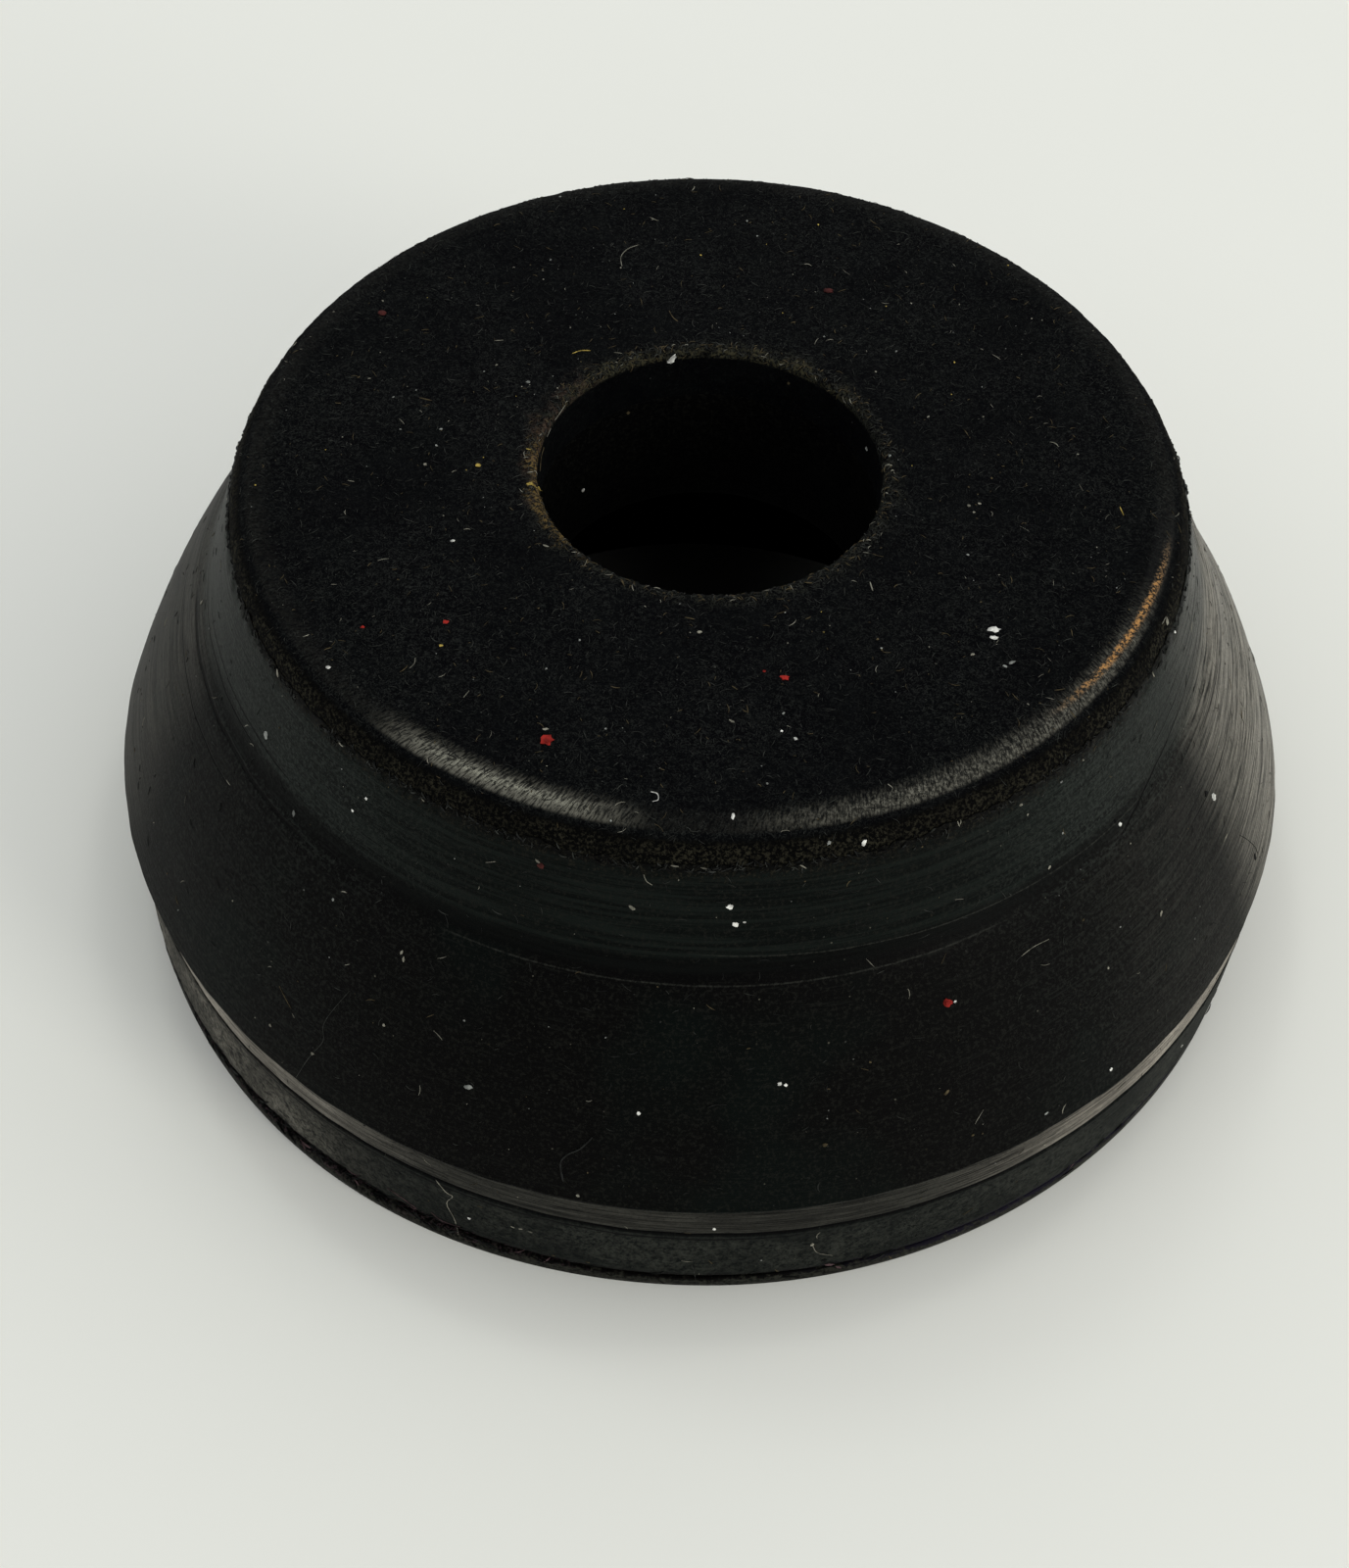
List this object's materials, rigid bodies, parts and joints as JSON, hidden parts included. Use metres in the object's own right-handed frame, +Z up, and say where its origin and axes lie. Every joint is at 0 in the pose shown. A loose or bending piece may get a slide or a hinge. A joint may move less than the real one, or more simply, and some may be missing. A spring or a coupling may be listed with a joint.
{
  "type": "engine mount isolator",
  "caption": "Conical rubber isolator with a round steel plate bonded to its small end and a bolt bore through both, for carrying an engine on its mounting frame.",
  "frame": {"origin": "centre of the base, on the surface that the isolator stands on", "axes": "+Z up along the bore's axis, from the base to the plate; the part is the same all round that axis"},
  "size_m": [0.067, 0.067, 0.0282],
  "materials": {
    "rubber": "satin",
    "plate": "matt and rough, worn through to bare metal on part of its rolled edge"
  },
  "bodies": {
    "root": {"rubber_body": "rubber", "top_plate": "plate"}
  },
  "joints": []
}
